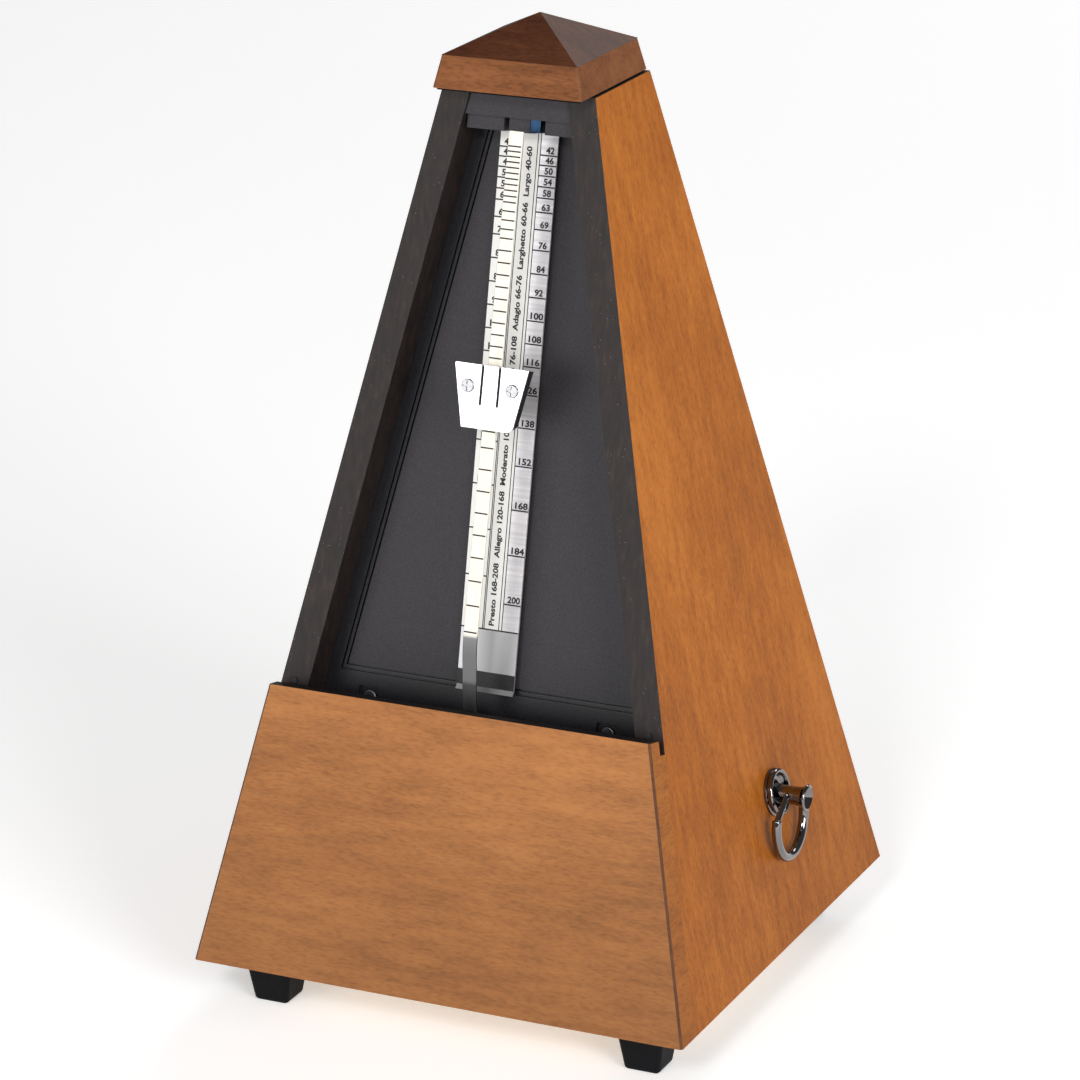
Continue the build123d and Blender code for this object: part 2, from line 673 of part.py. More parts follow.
# ---- winding key ----
key_profile = Plane(origin=(0, KEY_Y, KEY_Z), x_dir=(1, 0, 0), z_dir=(0, -1, 0))
key_axis = Axis((0, KEY_Y, KEY_Z), (1, 0, 0))
FLARE_R = 3.05
WAIST_R = 2.15
BARREL_BACK = 51.6
BARREL_BORE = 1.5
cross_hole = spun(shaft_plane(RING_X, WINDING), RING_TURN)
with BuildPart() as key_barrel:
    with BuildSketch(key_profile):
        with BuildLine():
            Polyline(
                (KEY_TIP_X - 1.4, 2.35),
                (RING_X + 1.2, WAIST_R),
                (RING_X - 1.4, WAIST_R),
                (BARREL_BACK + 0.4, 2.45),
                (BARREL_BACK, 2.2),
                (BARREL_BACK, BARREL_BORE),
                (RING_X - 1.9, BARREL_BORE),
                (RING_X - 1.9, 0),
                (KEY_TIP_X - 1.7, 0),
                (KEY_TIP_X - 1.5, 0.9),
                (KEY_TIP_X, FLARE_R - 0.45),
                (KEY_TIP_X - 0.15, FLARE_R - 0.1),
            )
            ThreePointArc(
                (KEY_TIP_X - 0.15, FLARE_R - 0.1),
                (KEY_TIP_X - 0.45, FLARE_R),
                (KEY_TIP_X - 0.75, FLARE_R - 0.15),
            )
            Line((KEY_TIP_X - 0.75, FLARE_R - 0.15), (KEY_TIP_X - 1.4, 2.35))
        make_face()
    revolve(axis=key_axis)
    with Locations(cross_hole.location * Location((0, 0, 0), (0, 90, 0))):
        Cylinder(ARM_R + 0.04, 12.0, mode=Mode.SUBTRACT)
finish(key_barrel, "key_barrel")

# The thumb ring: a thick open ring whose thin ends run up to the cross hole.
ring_plane = Plane(cross_hole.location * Location((0, 0, 0), (-RING_REST, 0, 0)))
RING_CENTRE = RING_HALF - RING_DROP
RING_OPEN = 12.0  # degrees above level at which the thick part ends
ARM_OUT = 3.05
ARM_IN = 0.6
end_x = RING_HALF * cos(radians(RING_OPEN))
end_v = RING_CENTRE + RING_HALF * sin(radians(RING_OPEN))
ring_middle = ring_plane.location * Pos(0, RING_CENTRE, 0)
ring_end = Plane(ring_middle * Location((0, 0, 0), (0, 0, RING_OPEN)) * Location((0, 0, 0), (90, 0, 0)))
with BuildPart() as key_ring:
    with BuildSketch(ring_end):
        with Locations((RING_HALF, 0)):
            Circle(RING_R)
    revolve(axis=Axis(ring_middle.position, -ring_plane.z_dir), revolution_arc=180 + 2 * RING_OPEN)
    fillet(key_ring.edges().filter_by(GeomType.CIRCLE).filter_by(lambda e: e.radius < 2), 0.5)
    for sign in (-1, 1):
        with BuildLine(ring_plane) as thin_line:
            FilletPolyline(
                (sign * ARM_IN, 0),
                (sign * ARM_OUT, 0),
                (sign * (end_x + 0.05), end_v - 0.6),
                radius=1.2,
            )
        with BuildSketch(Plane(thin_line.line @ 0, z_dir=thin_line.line % 0)):
            Circle(ARM_R)
        sweep(path=thin_line.line)
finish(key_ring, "key_ring")

# A dished ferrule, flush with the leaning side, lines the key's hole.
face_normal = side_plane(1, 0).z_dir
ferrule_seat = Vector(half(KEY_Z), KEY_Y, KEY_Z)
with BuildPart() as key_escutcheon:
    with BuildSketch(Plane(origin=ferrule_seat, x_dir=face_normal, z_dir=(0, -1, 0))):
        with BuildLine():
            Polyline((0, 2.95), (0, 5.5), (0.6, 5.5), (0.85, 5.1), (1.1, 5.1), (1.3, 5.35))
            ThreePointArc((1.3, 5.35), (2.1, 5.0), (1.6, 4.35))
            Polyline((1.6, 4.35), (0.7, 3.7), (0.5, 2.95), (0, 2.95))
        make_face()
    revolve(axis=Axis(ferrule_seat, face_normal))
finish(key_escutcheon, "key_escutcheon")

# ---- movement: frame ----
FRAME_OUTLINE = [(-35, 16), (39, 16), (39, 71), (-15, 71), (-26, 62), (-35, 59)]
PILLARS = [(-32, 22.5), (35.5, 22.5), (35.5, 67.5), (-12, 67.5)]
PILLAR_R = 2.4
FLANGE_W = 9.0
FLANGE_L = 60
FLANGE_Y = 2  # middle of each flange
FLANGE_HOLE_R = 1.15
PILLAR_HOLE_R = 1.1
STRAP_H = 8
COCK_H = 6
COCK_OVER = 2.2  # the cock reaches this far past the verge
ARBOR_PROUD = 0.4  # an arbor's end beyond the plate's outer face
COCK_Y = -8.6  # front face of the cock that carries the rear of the verge
BRIDGE_Y = -33.4
STRAP_T = 1.4
ARBOR_R = 0.9
WIND_R = 2.0
SPRING_POST = (KEY_Y + 12.6, KEY_Z - 12.6)

frame_bores = [(WINDING, WIND_R - 0.4), (SECOND, ARBOR_R), (ESCAPE, ARBOR_R)]
FLANGE_SPOTS = (-22, 26)  # y of the two screws through each flange
FLANGE_SCREW_X = FRAME_X + 5.5
for side, label in [(-1, "movement_plate_left"), (1, "movement_plate_right")]:
    inner_x = side * FRAME_X
    with BuildPart() as frame_plate:
        with BuildSketch(shaft_plane(inner_x)):
            Polygon(*FRAME_OUTLINE, align=None)
            for centre, radius in frame_bores:
                with Locations(centre):
                    Circle(radius + FIT, mode=Mode.SUBTRACT)
            with Locations(*PILLARS):
                Circle(PILLAR_HOLE_R, mode=Mode.SUBTRACT)
        extrude(amount=side * FRAME_T)
        with BuildSketch(Plane.XY.offset(FOOT_H + BASE_T)):
            with Locations((side * (FRAME_X + FLANGE_W / 2), FLANGE_Y)):
                Rectangle(FLANGE_W, FLANGE_L)
            for spot in FLANGE_SPOTS:
                with Locations((side * FLANGE_SCREW_X, spot)):
                    Circle(FLANGE_HOLE_R, mode=Mode.SUBTRACT)
        extrude(amount=FRAME_T)
    finish(frame_plate, label)

mount_places = []
for side in (-1, 1):
    for spot in FLANGE_SPOTS:
        seat = (side * FLANGE_SCREW_X, spot, FOOT_H + BASE_T + FRAME_T)
        mount_places.append(Plane(origin=seat, x_dir=(1, 0, 0), z_dir=(0, 0, 1)))
MOUNT_HEAD_R = 2.0
MOUNT_HEAD_H = 1.3
movement_screws = screws(mount_places, MOUNT_HEAD_R, MOUNT_HEAD_H, FLANGE_HOLE_R - 0.05, FRAME_T)
finish(movement_screws, "movement_screws")

with BuildPart() as pillars:
    with BuildSketch(shaft_plane(-FRAME_X)):
        with Locations(*PILLARS):
            Circle(PILLAR_R)
    extrude(amount=2 * FRAME_X)
finish(pillars, "pillars")

pillar_places = []
for side in (-1, 1):
    for pillar in PILLARS:
        seat = (side * (FRAME_X + FRAME_T), pillar[0], pillar[1])
        pillar_places.append(Plane(origin=seat, x_dir=(0, side, 0), z_dir=(side, 0, 0)))
PILLAR_HEAD_R = 1.9
PILLAR_HEAD_H = 1.1
pillar_screws = screws(pillar_places, PILLAR_HEAD_R, PILLAR_HEAD_H, PILLAR_HOLE_R - 0.02, FRAME_T)
finish(pillar_screws, "pillar_screws")

with BuildPart() as verge_bridge:
    with BuildSketch(Plane(origin=(0, BRIDGE_Y, 0), x_dir=(1, 0, 0), z_dir=(0, -1, 0))):
        with Locations((0, PIVOT_Z)):
            Rectangle(2 * FRAME_X, STRAP_H)
            Circle(VERGE_R + FIT, mode=Mode.SUBTRACT)
    extrude(amount=-STRAP_T)
finish(verge_bridge, "verge_bridge")

with BuildPart() as verge_cock:
    with BuildSketch(Plane(origin=(0, COCK_Y, 0), x_dir=(1, 0, 0), z_dir=(0, -1, 0))):
        with Locations(((COCK_OVER - FRAME_X) / 2, PIVOT_Z)):
            Rectangle(FRAME_X + COCK_OVER, COCK_H)
        with Locations((0, PIVOT_Z)):
            Circle(VERGE_R + FIT, mode=Mode.SUBTRACT)
    extrude(amount=-STRAP_T)
finish(verge_cock, "verge_cock")

# ---- movement: train ----
def wheel(plane, teeth, module, bore, thick, first_tooth, spokes):
    """A toothed wheel or pinion; first_tooth is the bearing of one tooth's middle."""
    pitch = pi * module
    root = module * teeth / 2 - 1.1 * module
    depth = 1.85 * module
    with BuildPart() as body:
        with BuildSketch(plane):
            Circle(root)
            with PolarLocations(root, teeth, start_angle=first_tooth):
                Polygon(
                    (-0.3, -0.27 * pitch),
                    (depth, -0.1 * pitch),
                    (depth, 0.1 * pitch),
                    (-0.3, 0.27 * pitch),
                    align=None,
                )
            if spokes:
                window = (root - bore) * 0.22
                with PolarLocations((root + bore) * 0.54, spokes, start_angle=180 / spokes):
                    Circle(window, mode=Mode.SUBTRACT)
            Circle(bore, mode=Mode.SUBTRACT)
        extrude(amount=thick)
    return body


GREAT_X = 4.0
GREAT_T = 2.0
WHEEL_2_X = -15.5
WHEEL_2_T = 1.4
PINION_2_SHIFT = 1.0  # how far a pinion starts before the wheel that drives it
PINION_2_T = 4.0
PINION_3_SHIFT = 0.8
PINION_3_T = 3.0
down_train = bearing_to(WINDING, SECOND)
great_wheel = wheel(shaft_plane(GREAT_X, WINDING), GREAT_TEETH, MODULE_1, WIND_R + FIT, GREAT_T, down_train, 5)
finish(great_wheel, "great_wheel")

meet_1 = bearing_to(SECOND, WINDING) + 180 / PINION_2_TEETH
second_pinion = wheel(
    shaft_plane(GREAT_X - PINION_2_SHIFT, SECOND), PINION_2_TEETH, MODULE_1, ARBOR_R, PINION_2_T, meet_1, 0
)
finish(second_pinion, "second_pinion")

meet_2 = bearing_to(SECOND, ESCAPE)
second_wheel = wheel(
    shaft_plane(WHEEL_2_X, SECOND), WHEEL_2_TEETH, MODULE_2, ARBOR_R, WHEEL_2_T, meet_2, 4
)
finish(second_wheel, "second_wheel")

meet_3 = bearing_to(ESCAPE, SECOND) + 180 / PINION_3_TEETH
escape_pinion = wheel(
    shaft_plane(WHEEL_2_X - PINION_3_SHIFT, ESCAPE), PINION_3_TEETH, MODULE_2, ARBOR_R, PINION_3_T, meet_3, 0
)
finish(escape_pinion, "escape_pinion")

for centre, label in [(SECOND, "second_arbor"), (ESCAPE, "escape_arbor")]:
    with BuildPart() as arbor:
        with BuildSketch(shaft_plane(-FRAME_X - FRAME_T - ARBOR_PROUD, centre)):
            Circle(ARBOR_R)
        extrude(amount=2 * (FRAME_X + FRAME_T + ARBOR_PROUD))
    finish(arbor, label)

CROWN_BACK = -9.0
CROWN_TIP = -3.2
TOOTH_H = 2.2
WEB_T = 1.0
RIM_T = 0.8
TOOTH_LAND = 0.25  # the flat that is left at each tooth's tip
CUT_IN = 1.6  # the cutter starts this far inside the rim
CUT_DEPTH = 2.4
with BuildPart() as escape_wheel:
    with BuildSketch(shaft_plane(CROWN_BACK, ESCAPE)):
        Circle(ESCAPE_R)
        Circle(ARBOR_R, mode=Mode.SUBTRACT)
    extrude(amount=WEB_T)
    with BuildSketch(shaft_plane(CROWN_BACK, ESCAPE)):
        Circle(ESCAPE_R)
        Circle(ESCAPE_R - RIM_T, mode=Mode.SUBTRACT)
    extrude(amount=CROWN_TIP - CROWN_BACK)
    gap = 2 * pi * ESCAPE_R / ESCAPE_TEETH
    for number in range(ESCAPE_TEETH):
        turn = 360 * number / ESCAPE_TEETH
        rim = spun(shaft_plane(CROWN_TIP, ESCAPE), turn)
        across = Plane(origin=rim.origin, x_dir=rim.y_dir, z_dir=rim.x_dir)
        with BuildSketch(across.offset(ESCAPE_R - CUT_IN)):
            Polygon(
                (-gap / 2 + TOOTH_LAND, 0.2),
                (gap / 2, 0.2),
                (gap / 2, 0),
                (-gap / 2 + TOOTH_LAND, -TOOTH_H),
                align=None,
            )
        extrude(amount=CUT_DEPTH, mode=Mode.SUBTRACT)
finish(escape_wheel, "escape_wheel")

# ---- movement: winding ----
SPRING_X = -12.4
SPRING_W = 9.0
POST_R = 1.5
POST_SHORT = 3.0  # the post stops this far before the middle
PIVOT_R = WIND_R - 0.4
CORE_R = 3.0
RATCHET_X = 6.3
RATCHET_R = 8.0
RATCHET_TEETH = 18
RATCHET_T = 1.6
RATCHET_ROOT = RATCHET_R - 1.3
with BuildPart() as winding_arbor:
    with BuildSketch(key_profile):
        Polygon(
            (-FRAME_X - FRAME_T - 0.5, 0),
            (-FRAME_X - FRAME_T - 0.5, PIVOT_R),
            (-FRAME_X + 0.3, PIVOT_R),
            (-FRAME_X + 0.3, CORE_R),
            (SPRING_X + SPRING_W + 1.0, CORE_R),
            (SPRING_X + SPRING_W + 1.0, WIND_R),
            (FRAME_X - 0.3, WIND_R),
            (FRAME_X - 0.3, PIVOT_R),
            (BARREL_BACK - 0.5, PIVOT_R),
            (BARREL_BACK - 0.5, BARREL_BORE - 0.02),
            (RING_X - 2.0, BARREL_BORE - 0.02),
            (RING_X - 2.0, 0),
            align=None,
        )
    revolve(axis=key_axis)
finish(winding_arbor, "winding_arbor")

with BuildPart() as ratchet_wheel:
    with BuildSketch(shaft_plane(RATCHET_X, WINDING)):
        Circle(RATCHET_ROOT)
        with PolarLocations(0, RATCHET_TEETH):
            Polygon(
                (RATCHET_R - 1.8, -1.2),
                (RATCHET_R * 0.994, -0.9),
                (RATCHET_ROOT, 1.3),
                (RATCHET_R - 1.8, 1.3),
                align=None,
            )
        Circle(WIND_R, mode=Mode.SUBTRACT)
    extrude(amount=RATCHET_T)
finish(ratchet_wheel, "ratchet_wheel")

CLICK_REACH = 14.0
TIP_GAP = 0.15
CLICK_T = 1.4
CLICK_HUB_R = 2.1
CLICK_BORE_R = 1.05
CLICK_SPRING_EYE_R = 1.3
CLICK_SPRING_T = 0.5
CLICK_HEAD_R = 1.8
CLICK_HEAD_H = 0.9
with BuildPart() as click:
    with BuildSketch(shaft_plane(RATCHET_X + 0.05, WINDING)):
        Polygon(
            (CLICK_REACH - 1.6, -1.4),
            (CLICK_REACH + 1.9, -1.0),
            (CLICK_REACH + 1.9, 1.0),
            (7.6, 5.6),
            (5.95, 5.7),
            (7.2, 3.9),
            align=None,
        )
        with Locations((CLICK_REACH, 0)):
            Circle(CLICK_HUB_R)
            Circle(CLICK_BORE_R, mode=Mode.SUBTRACT)
        Circle(RATCHET_R + TIP_GAP, mode=Mode.SUBTRACT)
    extrude(amount=CLICK_T)
finish(click, "click")

click_head_x = RATCHET_X + 1.5
click_seat = Plane(shaft_plane(click_head_x, WINDING) * Pos(CLICK_REACH, 0))
click_shank = click_head_x - GREAT_X - GREAT_T
click_screw = screws([click_seat], CLICK_HEAD_R, CLICK_HEAD_H, CLICK_BORE_R - 0.05, click_shank)
finish(click_screw, "click_screw")

with BuildPart() as click_spring:
    with BuildSketch(shaft_plane(GREAT_X + GREAT_T, WINDING)):
        with BuildLine():
            ThreePointArc((11.0, 5.7), (9.3, 11.8), (4.0, 15.4))
        trace(line_width=CLICK_SPRING_T)
        with Locations((4.0, 15.4)):
            Circle(CLICK_SPRING_EYE_R)
    extrude(amount=RATCHET_T)
finish(click_spring, "click_spring")

# The mainspring is a flat spiral of half turns, its outer end hooked on a post.
SPRING_T = 0.35
COILS = 7
STEP_OUT = 0.72
with BuildPart() as mainspring:
    with BuildSketch(shaft_plane(SPRING_X, WINDING)):
        with BuildLine():
            radius = CORE_R + 0.5
            middle = 0.0
            for number in range(2 * COILS):
                flip = 1 if number % 2 == 0 else -1
                CenterArc((middle, 0), radius, 0 if flip == 1 else 180, 180)
                radius += STEP_OUT
                middle += flip * STEP_OUT
        trace(line_width=SPRING_T)
    extrude(amount=SPRING_W)
finish(mainspring, "mainspring")

with BuildPart() as spring_post:
    with BuildSketch(shaft_plane(-FRAME_X, SPRING_POST)):
        Circle(POST_R)
    extrude(amount=FRAME_X - POST_SHORT)
finish(spring_post, "spring_post")
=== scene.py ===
import json
import math

import bmesh
import bpy
from mathutils import Matrix, Vector


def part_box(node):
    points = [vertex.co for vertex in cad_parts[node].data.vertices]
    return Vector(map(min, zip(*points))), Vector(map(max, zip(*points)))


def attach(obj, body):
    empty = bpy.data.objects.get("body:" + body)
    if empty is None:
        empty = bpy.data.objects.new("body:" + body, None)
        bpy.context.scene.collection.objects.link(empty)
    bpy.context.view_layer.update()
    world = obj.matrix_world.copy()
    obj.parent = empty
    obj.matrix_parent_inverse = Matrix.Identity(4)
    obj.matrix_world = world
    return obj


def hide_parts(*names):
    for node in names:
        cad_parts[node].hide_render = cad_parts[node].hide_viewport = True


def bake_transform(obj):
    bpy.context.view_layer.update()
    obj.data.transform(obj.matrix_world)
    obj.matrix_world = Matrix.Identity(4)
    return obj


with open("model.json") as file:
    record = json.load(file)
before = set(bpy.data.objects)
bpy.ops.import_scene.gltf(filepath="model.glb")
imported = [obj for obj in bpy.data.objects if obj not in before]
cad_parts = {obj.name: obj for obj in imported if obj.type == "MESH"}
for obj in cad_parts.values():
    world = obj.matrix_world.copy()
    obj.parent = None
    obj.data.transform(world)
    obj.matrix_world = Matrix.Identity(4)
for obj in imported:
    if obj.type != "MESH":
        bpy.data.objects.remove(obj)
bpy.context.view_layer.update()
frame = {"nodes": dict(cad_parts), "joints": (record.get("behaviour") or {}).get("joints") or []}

MM = 0.001

# ---- places taken from the frame ----
JOINTS = {joint["name"]: joint for joint in frame["joints"]}
PIVOT = Vector(JOINTS["pendulum_swing"]["pos_m"])
LEAN = math.asin(JOINTS["weight_slide"]["axis"][1])  # how far the front leans back from upright
RISE = math.tan(LEAN)
PARKED = math.atan2(JOINTS["weight_slide"]["axis"][0], JOINTS["weight_slide"]["axis"][2])
OUTWARD = Vector((0, -math.cos(LEAN), math.sin(LEAN)))  # normal of the leaning front
SCALE_LOW, SCALE_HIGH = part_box("scale_plate")
ROD_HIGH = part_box("pendulum_rod")[1]
CASE_LOW, CASE_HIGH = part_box("right_side_panel")
RELEASE = Vector(JOINTS["rod_release"]["pos_m"])
BOARD_LOW, BOARD_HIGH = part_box("front_board")
FACE_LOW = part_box("face_panel")[0]

PANEL_T = 6.7 * MM
SCALE_T = 0.5 * MM
ROD_T = 0.7 * MM
ROD_W = 3.3 * MM
SCALE_W = SCALE_HIGH.x - SCALE_LOW.x


# ---- node helpers ----
class Finish:
    """A material made one node at a time round a Principled shader."""

    def __init__(self, name, **constants):
        self.material = bpy.data.materials.new(name)
        self.material.use_nodes = True
        self.tree = self.material.node_tree
        self.shader = self.tree.nodes["Principled BSDF"]
        self.place = self.add("TexCoord").outputs["Object"]
        self.fill(self.shader, constants)

    def fill(self, made, inputs):
        """Sets or links a node's inputs; a socket's name has _ for each space."""
        for name, value in inputs.items():
            socket = made.inputs[name.replace("_", " ")]
            if isinstance(value, bpy.types.NodeSocket):
                self.tree.links.new(value, socket)
            elif socket.type == "RGBA" and len(value) == 3:
                socket.default_value = (*value, 1)
            else:
                socket.default_value = value

    def add(self, kind, settings=None, **inputs):
        made = self.tree.nodes.new("ShaderNode" + kind)
        for name, value in (settings or {}).items():
            setattr(made, name, value)
        self.fill(made, inputs)
        return made

    def stretched(self, across_x, across_y, across_z):
        """Object coordinates times a number of repeats a metre in each direction."""
        return self.add("Mapping", Vector=self.place, Scale=(across_x, across_y, across_z)).outputs["Vector"]

    def noise(self, vector, detail=3.0, roughness=0.55, distortion=0.0):
        made = self.add(
            "TexNoise", Vector=vector, Scale=1.0, Detail=detail, Roughness=roughness, Distortion=distortion
        )
        return made.outputs["Fac"]

    def ramp(self, value, stops, steps=False):
        """A value turned into a colour; stops are (position, grey or colour)."""
        made = self.add("ValToRGB", Fac=value)
        if steps:
            made.color_ramp.interpolation = "CONSTANT"
        ends = made.color_ramp.elements
        while len(ends) < len(stops):
            ends.new(0.5)
        for end, (position, colour) in zip(ends, stops):
            end.position = position
            end.color = (*colour, 1) if isinstance(colour, tuple) else (colour, colour, colour, 1)
        return made.outputs["Color"]

    def map(self, value, low, high, to_low=0.0, to_high=1.0):
        made = self.add("MapRange", Value=value, From_Min=low, From_Max=high, To_Min=to_low, To_Max=to_high)
        return made.outputs["Result"]

    def math(self, operation, first, second=0.0):
        made = self.add("Math", {"operation": operation})
        for socket, value in zip(made.inputs, (first, second)):
            if isinstance(value, bpy.types.NodeSocket):
                self.tree.links.new(value, socket)
            else:
                socket.default_value = value
        return made.outputs[0]

    def mix(self, factor, first, second, blend="MIX"):
        """Two colours mixed by a factor."""
        made = self.add("Mix", {"data_type": "RGBA", "blend_type": blend})
        for name, value in (("Factor", factor), ("A", first), ("B", second)):
            kind = "VALUE" if name == "Factor" else "RGBA"
            socket = next(s for s in made.inputs if s.name == name and s.type == kind)
            if isinstance(value, bpy.types.NodeSocket):
                self.tree.links.new(value, socket)
            elif kind == "RGBA":
                socket.default_value = (*value, 1)
            else:
                socket.default_value = value
        return next(s for s in made.outputs if s.type == "RGBA")

    def bump(self, height, distance, strength=1.0):
        made = self.add("Bump", Height=height, Distance=distance, Strength=strength)
        self.tree.links.new(made.outputs["Normal"], self.shader.inputs["Normal"])

    def colour(self, value):
        self.fill(self.shader, {"Base_Color": value})
        return self


# ---- woods ----
SHADE_LOW = 20 * MM  # painted shade: wood is at its darkest below this height and has its own colour above the next
SHADE_HIGH = 72 * MM


def wood(name, deep, middle, pale, grain, seed, roughness=0.5, pores=0.8, lower=1.0, gloss=0.2):
    """Stained wood: broad mottling, streaks and fine flecks drawn out along the grain.

    lower is how much darker painted shade makes the wood at the foot of the case than half way up.
    """
    finish = Finish(name, Roughness=roughness, Specular_IOR_Level=gloss)
    layers = []
    for repeats, stretch, detail in ((30, 0.45, 3), (420, 0.16, 4), (2300, 0.22, 3)):
        scale = [repeats * stretch if axis == grain else repeats for axis in "xyz"]
        vector = finish.add("Mapping", Vector=finish.place, Scale=scale, Location=(seed, seed, seed))
        layers.append(finish.noise(vector.outputs["Vector"], detail))
    broad, streak, fleck = layers
    tone = finish.math("ADD", finish.math("MULTIPLY", broad, 0.4), finish.math("MULTIPLY", streak, 0.36))
    tone = finish.math("ADD", tone, finish.math("MULTIPLY", fleck, 0.24))
    colour = finish.ramp(tone, [(0.38, deep), (0.5, middle), (0.62, pale)])
    z = finish.add("SeparateXYZ", Vector=finish.place).outputs["Z"]
    # painted shade: the wood darkens towards the foot of the case
    near_foot = finish.map(z, SHADE_LOW, SHADE_HIGH, lower, 1.0)
    shade = finish.math("MULTIPLY", finish.map(fleck, 0.34, 0.5, pores, 1.0), near_foot)
    grey = finish.add("CombineColor", Red=shade, Green=shade, Blue=shade).outputs[0]
    finish.bump(finish.math("ADD", fleck, streak), 0.015 * MM, 0.4)
    return finish.colour(finish.mix(1.0, colour, grey, "MULTIPLY")).material


def stained_edge():
    """Wood stained black, with brown showing through and fine dust on it."""
    finish = Finish("black_stained_wood", Roughness=0.55, Specular_IOR_Level=0.35)
    streak = finish.noise(finish.stretched(900, 900, 90), 3)
    stops = [(0.35, (0.007, 0.004, 0.004)), (0.6, (0.015, 0.009, 0.007)), (0.78, (0.034, 0.020, 0.014))]
    speck = finish.add("TexVoronoi", Vector=finish.place, Scale=900.0)
    near = finish.map(speck.outputs["Distance"], 0.08, 0.14, 0.8, 0.0)
    rare = finish.map(finish.noise(finish.stretched(250, 250, 250), 2), 0.50, 0.58)
    colour = finish.mix(finish.math("MULTIPLY", near, rare), finish.ramp(streak, stops), (0.13, 0.10, 0.09))
    finish.bump(streak, 0.03 * MM, 0.6)
    return finish.colour(colour).material


# ---- plastics ----
def black_plastic(name, colour, roughness, grain, gloss=0.35):
    finish = Finish(name, Roughness=roughness, Specular_IOR_Level=gloss)
    fine = finish.noise(finish.stretched(grain, grain, grain), 3, 0.65)
    tone = finish.ramp(fine, [(0.3, tuple(0.6 * c for c in colour)), (0.7, tuple(1.5 * c for c in colour))])
    finish.bump(fine, 0.06 * MM, 0.5)
    return finish.colour(tone).material


# ---- metals ----
def metal(name, colour, roughness, brushed=(900, 900, 60), contrast=0.12, depth=0.004):
    """Bare metal with fine brush marks in its gloss."""
    finish = Finish(name, Metallic=1.0)
    marks = finish.noise(finish.stretched(*brushed), 3)
    shade = finish.map(marks, 0.3, 0.7, 1 - contrast, 1.0)
    tint = finish.add("CombineColor", Red=shade, Green=shade, Blue=shade).outputs[0]
    finish.colour(finish.mix(1.0, tint, colour, "MULTIPLY"))
    finish.fill(finish.shader, {"Roughness": finish.map(marks, 0.3, 0.7, roughness * 0.8, roughness * 1.25)})
    finish.bump(marks, depth * MM, 0.3)
    return finish.material


def scale_metal():
    """Silver plate, lacquered white under the left column and the tempo words."""
    finish = Finish("printed_scale_metal")
    parts = finish.add("SeparateXYZ", Vector=finish.place).outputs
    across = finish.map(parts["X"], SCALE_LOW.x, SCALE_HIGH.x)
    foot = mark_height(LOWEST_BEAT, SCALE_LAW)
    above = finish.map(parts["Z"], foot - 0.1 * MM, foot)
    white = finish.ramp(across, [(0.0, 1.0), (RIGHT_COLUMN, 0.0)], steps=True)
    white = finish.math("MULTIPLY", white, above)
    marks = finish.noise(finish.stretched(60, 60, 1400), 3)
    silver = finish.ramp(marks, [(0.3, (0.40, 0.39, 0.41)), (0.7, (0.56, 0.54, 0.55))])
    below = finish.ramp(across, [(0.0, 0.41), (0.3, 0.28), (0.55, 0.17), (0.8, 0.34)])
    silver = finish.mix(above, below, silver)
    finish.colour(finish.mix(white, silver, (0.62, 0.61, 0.58)))
    finish.fill(finish.shader, {"Metallic": finish.map(white, 0, 1, 0.5, 0.0)})
    finish.fill(finish.shader, {"Roughness": finish.map(white, 0, 1, 0.36, 0.45)})
    return finish.material


def rod_metal():
    """Cream-painted spring steel, worn bare below its lowest mark; the bare steel darkens towards its foot
    as painted shade.
    """
    finish = Finish("cream_spring_steel")
    marks = finish.noise(finish.stretched(900, 900, 60), 3)
    z = finish.add("SeparateXYZ", Vector=finish.place).outputs["Z"]
    foot = mark_height(LOWEST_BEAT, ROD_LAW)
    bare = finish.map(z, foot - 1.2 * MM, foot - 0.4 * MM, 1.0, 0.0)
    cream = finish.ramp(marks, [(0.3, (0.66, 0.61, 0.52)), (0.7, (0.78, 0.73, 0.64))])
    # painted shade: the bare steel is near-black below about 80 mm and lighter grey above about 82 mm
    steel = finish.ramp(finish.map(z, 0.076, 0.086), [(0.0, 0.03), (0.45, 0.05), (0.55, 0.14)])
    finish.colour(finish.mix(bare, cream, steel))
    finish.fill(finish.shader, {"Metallic": finish.map(bare, 0, 1, 0.0, 0.6)})
    finish.fill(finish.shader, {"Roughness": finish.map(marks, 0.3, 0.7, 0.34, 0.46)})
    finish.bump(marks, 0.004 * MM, 0.4)
    return finish.material


# ---- painting the CAD nodes ----
def paint(material, *nodes):
    for name in nodes:
        mesh = frame["nodes"][name].data
        mesh.materials.clear()
        mesh.materials.append(material)


def repaint(material, name, chosen):
    """Gives the faces of a CAD node that are chosen(centre, normal) a finish of their own."""
    mesh = frame["nodes"][name].data
    mesh.materials.append(material)
    number = len(mesh.materials) - 1
    for face in mesh.polygons:
        if chosen(face.center, face.normal):
            face.material_index = number


def case_half(z):
    """Half the width of the leaning case at a height."""
    return CASE_HIGH.x - RISE * (z - CASE_LOW.z)


def depth_in_face(point):
    """How far a point lies behind the front of the black face panel."""
    top_y = FACE_LOW.y + RISE * (point.z - FACE_LOW.z)
    return (point.y - top_y) * math.cos(LEAN)


BORDER = 4.1 * MM  # width of the face panel's smooth border, outside its two grooves
LEDGE_Z = 76.6 * MM
NEAR = 0.3 * MM


def in_rabbet(centre, normal):
    """True on the front board's top and in the rebate that the removable cover sits in."""
    front_y = BOARD_LOW.y + RISE * (centre.z - BOARD_LOW.z)
    stepped = centre.z > BOARD_HIGH.z - 5 * MM and centre.y > front_y + 2 * MM
    return normal.z > 0.7 or (stepped and normal.y < -0.5)


def in_field(centre, normal):
    """True on the face panel's front inside its grooves, where the plastic is grained."""
    inside = case_half(centre.z) - PANEL_T - BORDER
    within = centre.z > LEDGE_Z and abs(centre.x) < inside - NEAR
    return within and depth_in_face(centre) < NEAR


